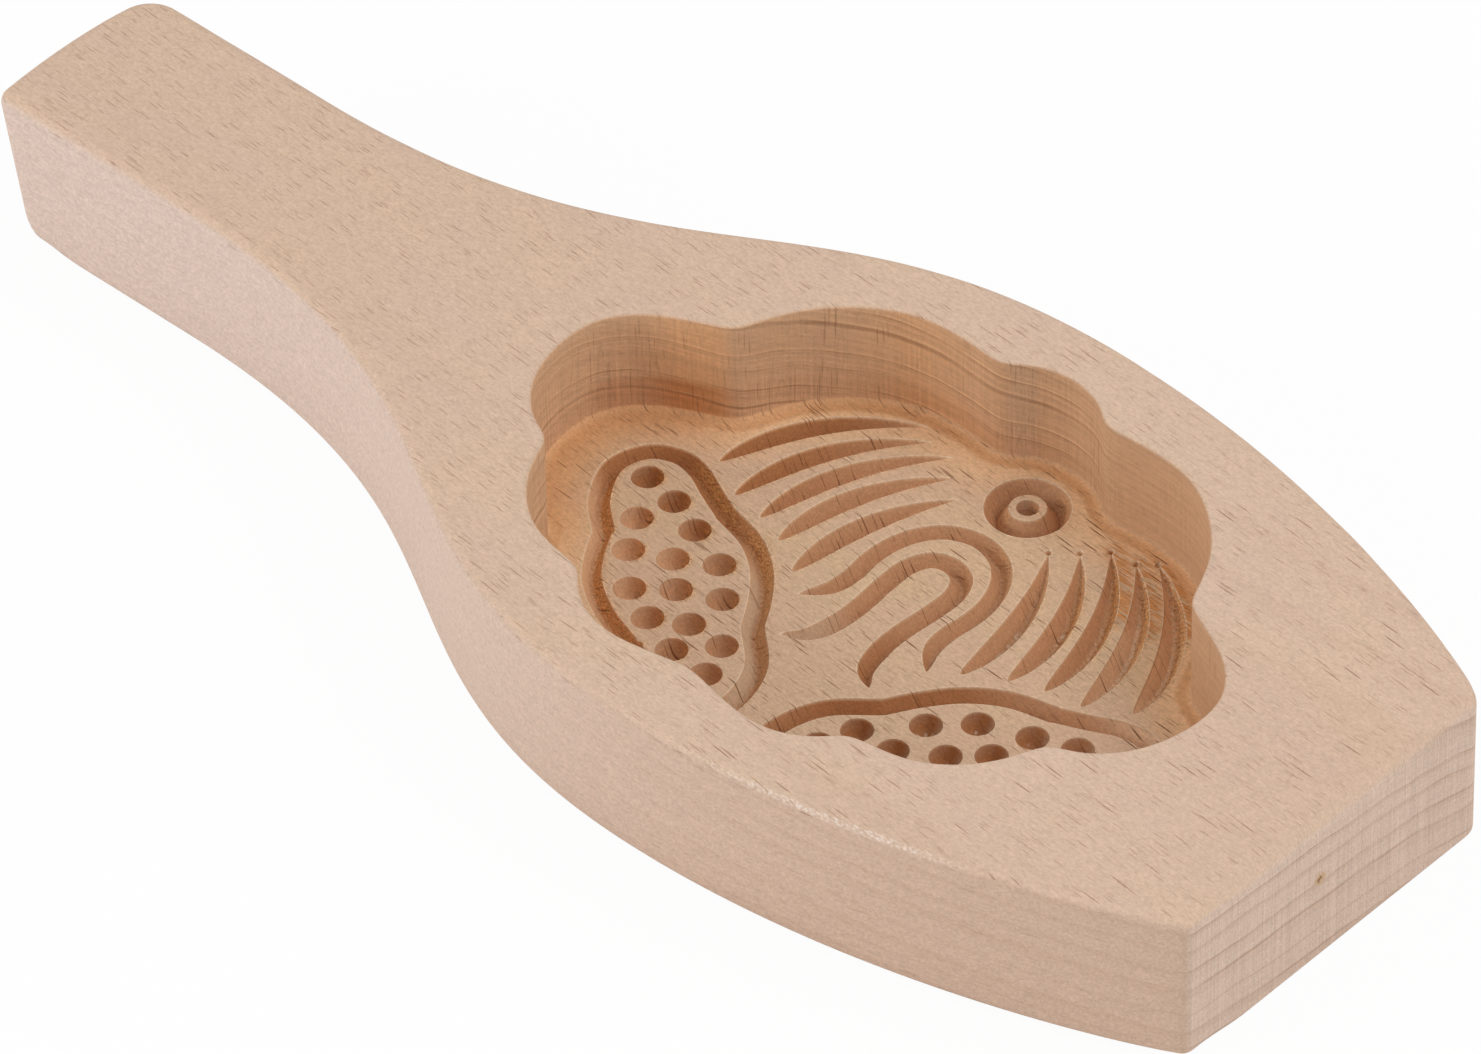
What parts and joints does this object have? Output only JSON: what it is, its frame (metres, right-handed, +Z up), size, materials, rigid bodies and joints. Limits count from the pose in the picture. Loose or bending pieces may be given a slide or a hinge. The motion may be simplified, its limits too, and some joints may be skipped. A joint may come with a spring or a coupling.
{
  "type": "mooncake mould",
  "caption": "Paddle-shaped wooden mould with a scalloped cavity, a carved floor, a straight handle and a flat end for knocking the cake out.",
  "frame": {"origin": "centre of the outline's bounding box, on the flat underside that it rests on", "axes": "+X from the handle to the flat end, along the grain; +Y across the board, to the side that the carving's top points to; +Z up, out of the cavity's mouth"},
  "size_m": [0.23, 0.096, 0.024],
  "materials": {
    "beech": "sanded bare beech, matt"
  },
  "bodies": {
    "root": {"mould_block": "beech"}
  },
  "joints": []
}
